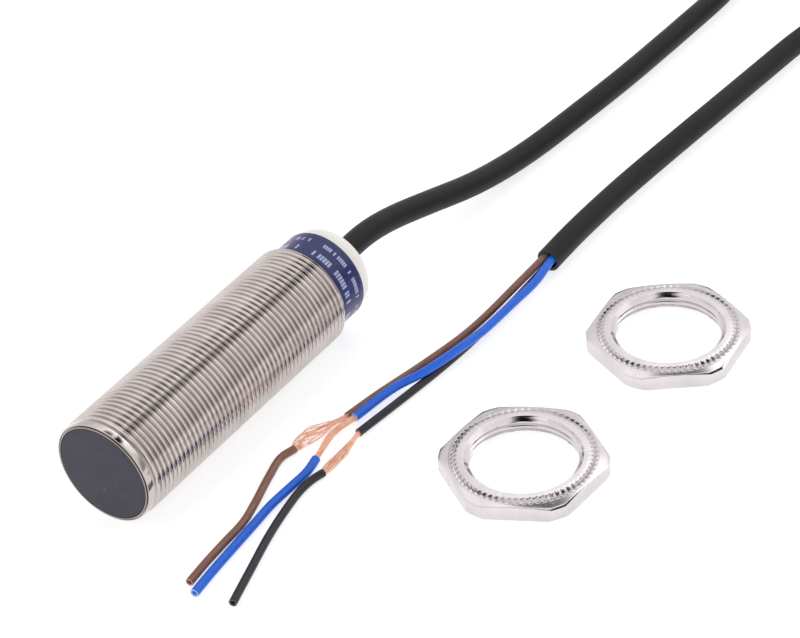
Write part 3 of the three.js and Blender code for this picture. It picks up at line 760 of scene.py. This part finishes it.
# ---- sensor ----
def make_barrel():
    """The threaded tube: at its front a thin rim, a groove and a plain lip, then a helical thread."""
    columns, bore, seat, ledge = 132, 7.5, CAP_RADIUS + 0.06, CAP_DEPTH * 0.25
    start, front, rear, run_out = 1.5, 8.46, 8.36, 0.9
    stations, phase = thread_grid(columns, start, BARREL_END)
    radii = THREAD_ROOT_RADIUS + (THREAD_RADIUS - THREAD_ROOT_RADIUS) * ridge(phase)
    radii = np.minimum(radii, front + (stations - start) * run_out)
    radii = np.minimum(radii, rear + (BARREL_END - stations) * run_out)
    angles = np.arange(columns)[:, None] * 2 * math.pi / columns
    points = about_axis(radii, stations, angles + 0 * stations)
    faces = grid_faces(columns, stations.shape[1], climb=THREAD_ROWS)
    lip = [(front, start), *arc(8.74, 1.3, 0.1, 70, 0, 4), *arc(8.66, 0.3, 0.12, 0, -90, 5)]
    groove = [(8.6, 0.2), (8.56, 0.32), (8.45, 0.32), (8.41, 0.14)]
    rim = [*arc(8.34, 0.07, 0.07, 0, -90, 4), (seat + 0.03, 0), (seat, 0.04)]
    bore_edge = 0.1
    inside = [(seat, ledge), (bore, ledge), (bore, BARREL_END - bore_edge), (bore + bore_edge, BARREL_END)]
    profile = [*lip, *groove, *rim, *inside, (rear, BARREL_END)]
    ring, along = np.array(profile).T
    first = len(points)
    rest = grid_faces(columns, len(profile))
    points = np.vstack([points, about_axis(ring + 0 * angles, along + 0 * angles, angles + 0 * ring)])
    faces += [tuple(corner + first for corner in face) for face in rest]
    mesh_piece("threaded_barrel", points, faces, "nickel_plated_brass", stands_for=["barrel"], sharp=50)


def make_cap():
    """The flush sensing face: a flat disc with its moulded edge rounded over."""
    face, body, step, edge = 0.04, 7.4, 1.0, 0.06
    rings = [(radius, face) for radius in np.linspace(0, CAP_RADIUS - edge, 6)]
    profile = [*rings, *arc(CAP_RADIUS - edge, face + edge, edge, -70, 0, 4),
               (CAP_RADIUS, step), (body, step), (body, CAP_DEPTH), (0, CAP_DEPTH)]
    turned("sensing_face", profile, "sensing_plastic", stands_for=["sensing_cap"])


def make_band():
    """The printed film wrapped round the rear housing."""
    inner, edge, margin = BAND_RADIUS - 0.15, 0.04, 0.6
    plain = [(BAND_RADIUS, station) for station in np.linspace(BAND_START + margin, BAND_END - margin, 6)]
    profile = [(inner, BAND_START), *arc(BAND_RADIUS - edge, BAND_START + edge, edge, -90, 0, 3), *plain,
               *arc(BAND_RADIUS - edge, BAND_END - edge, edge, 0, 90, 3), (inner, BAND_END)]
    turned("printed_band", profile, "label_film", stands_for=["label_band"])


def make_light_ring():
    """The ivory rear ring that the output light shines through: a rim, a moulding line, a domed shoulder,
    and a low rise to the cable's hole."""
    outer, hole, dome, lip = 7.6, 2.12, 2.45, 0.25
    crown, peak = SENSOR_LENGTH + 1.0, SENSOR_LENGTH + 1.15
    low = box("light_ring")[0].y - FACE_Y
    line, line_reach, line_depth = low + 0.7, 0.06, 0.07
    edge, shoulder = 0.08, outer - 0.05
    rim = [(hole, low), (outer - edge, low), (outer, low + edge)]
    moulding_line = [(outer, line - line_reach), (outer - line_depth, line), (shoulder, line + line_reach)]
    rise = [(4.8, crown + 0.06), (3.2, peak - 0.02), *arc(hole + lip, peak - lip, lip, 90, 180, 5)]
    profile = [*rim, *moulding_line, *arc(shoulder - dome, crown - dome, dome, 4, 90, 12), *rise]
    turned("glowing_ring", profile, "ivory_plastic", stands_for=["light_ring"])


# ---- nuts ----
def make_nut(name):
    """A thin hexagon nut: a coned top with a knurled bevel, a flat land, and a real thread in its bore."""
    low, high = box(name)
    middle, thickness = (low + high) / 2, high.z - low.z
    columns = NUT_TEETH * TOOTH_COLUMNS
    turn = np.arange(columns) * 2 * math.pi / columns
    off_flat = (turn - math.radians(NUT_FLAT_ANGLES[name]) + math.pi / 6) % (math.pi / 3) - math.pi / 6
    outline = np.minimum(NUT_FLATS / 2 / np.cos(off_flat), NUT_CORNER_RADIUS)
    off_pit = np.abs(turn * NUT_TEETH / math.pi % 2 - 1)
    land, land_middle, pit_reach, pit_depth, pit_taper = 9.25, 9.6, 0.62, 0.36, 0.72
    shoulder, rim, rim_drop, foot, foot_drop, cone = 10.2, 11.5, 0.26, 11.6, 0.08, 0.26
    edge, nick, bottom_hole, bottom_bevel = 0.06, 0.06 * 0.3, 9.15, 12.95

    def top(radius):
        """A flat land, a bevel knurled with diamond pits, a plain rim, a small step, and a shallow cone."""
        pit = np.maximum(1 - np.abs(radius - KNURL_RADIUS) / pit_reach - pit_taper * off_pit, 0)
        bevel = rim_drop * np.clip((radius - shoulder) / (rim - shoulder), 0, 1)
        step = foot_drop * np.clip((radius - rim) / (foot - rim), 0, 1)
        return thickness - bevel - step - pit_depth * pit - np.maximum(radius - foot, 0) * cone

    def bottom(radius):
        return np.maximum(radius - bottom_bevel, 0)

    rows = [(bottom_hole, 0 * turn), (outline - edge, bottom(outline - edge)),
            (outline - nick, bottom(outline) + nick), (outline, bottom(outline) + edge),
            (outline, top(outline) - edge), (outline - nick, top(outline) - nick)]
    on_cone = [outline - edge + (foot - outline + edge) * share for share in (0, 0.4, 0.8)]
    on_step = [foot + 0.03, foot, foot - 0.05, rim, rim - 0.03]
    on_knurl = np.linspace(KNURL_RADIUS + pit_reach, KNURL_RADIUS - pit_reach, 16)
    rows += [(radius, top(radius)) for radius in (*on_cone, *on_step, *on_knurl)]
    rows += [(radius, thickness + 0 * turn) for radius in (land_middle, land)]
    radii = np.stack([radius + 0 * turn for radius, _ in rows], axis=-1)
    heights = np.stack([height for _, height in rows], axis=-1)
    faces = grid_faces(columns, len(rows))

    bore, crest, thread_start = 9.03, 8.5, 0.6
    levels, phase = thread_grid(columns, 0, thickness)
    walls = bore - (bore - crest) * ridge(phase)
    walls = np.maximum(walls, crest + (levels - thickness + thread_start) / thread_start * (land - crest))
    walls = np.maximum(walls, crest + (thread_start - levels) / thread_start * (bottom_hole - crest))
    first = radii.size
    wall_faces = grid_faces(columns, levels.shape[1], climb=THREAD_ROWS)
    faces += [tuple(corner + first for corner in face) for face in wall_faces]

    def placed(radius, height):
        across, along = radius * np.cos(turn)[:, None], radius * np.sin(turn)[:, None]
        return np.stack([middle.x + across, middle.y + along, low.z + height], axis=-1).reshape(-1, 3)

    points = np.vstack([placed(radii, heights), placed(walls, levels)])
    mesh_piece(f"hexagon_{name}", points, faces, "nickel_plated_brass", body=f"{name}_body",
               stands_for=[name], sharp=28, finish=nut_nickel(f"{name}_plate", name))


make_barrel()
make_cap()
make_band()
make_light_ring()
for nut_name in NUT_FLAT_ANGLES:
    make_nut(nut_name)


# ---- the parts inside the sensor keep their CAD shapes ----
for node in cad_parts.values():
    if not node.hide_render:
        slot = node.material_slots[0].material.name
        node.material_slots[0].material = FINISHES[slot]


# ---- studio ----
def make_floor():
    """A pale table that glows a little, just under the part."""
    reach, level = 2500, -0.02
    points = [(x, y, level) for x in (-reach, reach) for y in (-reach, reach)]
    mesh = bpy.data.meshes.new("floor")
    mesh.from_pydata((np.array(points) * MM).tolist(), [], [(0, 2, 3, 1)])
    table = moulded("lit_table", rgb(190, 190, 191), rgb(187, 187, 189), rough=(0.85, 0.95), grain=0.4,
                    depth=0.002, emission_color=(1.0, 1.0, 1.0, 1.0), emission_strength=0.7)
    mesh.materials.append(table)
    floor = bpy.data.objects.new("floor", mesh)
    bpy.context.scene.collection.objects.link(floor)


# Darker and brighter regions of the surround: (direction, degrees out to which their effect is full, degrees
# beyond which they have none, share of the light).
SURROUND = [
    ((-0.20, 0.63, 0.75), 8, 18, 1.25),
    ((0.08, 0.63, 0.77), 12, 24, 1.40),
    ((0.44, 0.63, 0.64), 9, 20, 1.32),
    ((-0.42, 0.25, 0.87), 8, 18, 1.20),
    ((0.17, -0.33, 0.93), 8, 18, 0.12),
    ((-0.17, 0.40, 0.90), 6, 11, 0.14),
    ((0.45, -0.58, 0.68), 12, 24, 0.12),
    ((0.78, 0.63, 0.00), 8, 27, 0.36),
    ((-0.80, 0.60, 0.05), 16, 38, 0.80),
    ((-0.10, -0.97, 0.22), 10, 30, 1.35),
]
# The dark slot between two softboxes: its place across, the reach of its full and of its partial dark, the
# share of the light left in it, and the heights between which it begins.
SLOT_ACROSS, SLOT_FULL, SLOT_NONE, SLOT_LEFT = 0.20, 0.08, 0.18, 0.0
SLOT_FOOT, SLOT_TOP = 0.77, 0.83
STUDIO_LIGHT, STUDIO_TINT = 1.08, (1.0, 0.988, 0.995, 1.0)


def make_studio_light():
    """A white surround with a dark slot and darker and brighter regions, all of which the nickel mirrors."""
    world = bpy.data.worlds.new("studio")
    bpy.context.scene.world = world
    world.use_nodes = True
    nodes, links = world.node_tree.nodes, world.node_tree.links
    direction = nodes.new("ShaderNodeTexCoord").outputs["Generated"]

    def calculate(operation, first, second):
        node = nodes.new("ShaderNodeMath")
        node.operation = operation
        links.new(first, node.inputs[0])
        if isinstance(second, float):
            node.inputs[1].default_value = second
        else:
            links.new(second, node.inputs[1])
        return node.outputs[0]

    def along(toward):
        node = nodes.new("ShaderNodeVectorMath")
        node.operation = "DOT_PRODUCT"
        node.inputs[1].default_value = Vector(toward).normalized()
        links.new(direction, node.inputs[0])
        return node.outputs["Value"]

    def eased_share(value, *levels):
        node = nodes.new("ShaderNodeMapRange")
        node.interpolation_type = "SMOOTHSTEP"
        for socket, level in zip(node.inputs[1:5], levels):
            socket.default_value = level
        links.new(value, node.inputs[0])
        return node.outputs[0]

    off_slot = calculate("ABSOLUTE", calculate("SUBTRACT", along((1, 0, 0)), SLOT_ACROSS), 0.0)
    low = eased_share(along((0, 0, 1)), SLOT_FOOT, SLOT_TOP, 1.0, 0.0)
    slot = calculate("MAXIMUM", eased_share(off_slot, SLOT_FULL, SLOT_NONE, SLOT_LEFT, 1.0), low)
    strength = calculate("MULTIPLY", slot, STUDIO_LIGHT)
    for toward, full, none, left in SURROUND:
        full, none = math.cos(math.radians(full)), math.cos(math.radians(none))
        strength = calculate("MULTIPLY", strength, eased_share(along(toward), none, full, 1.0, left))
    background = nodes["Background"]
    background.inputs["Color"].default_value = STUDIO_TINT
    links.new(strength, background.inputs["Strength"])
    bpy.context.scene.view_settings.view_transform = "Standard"


make_floor()
make_studio_light()
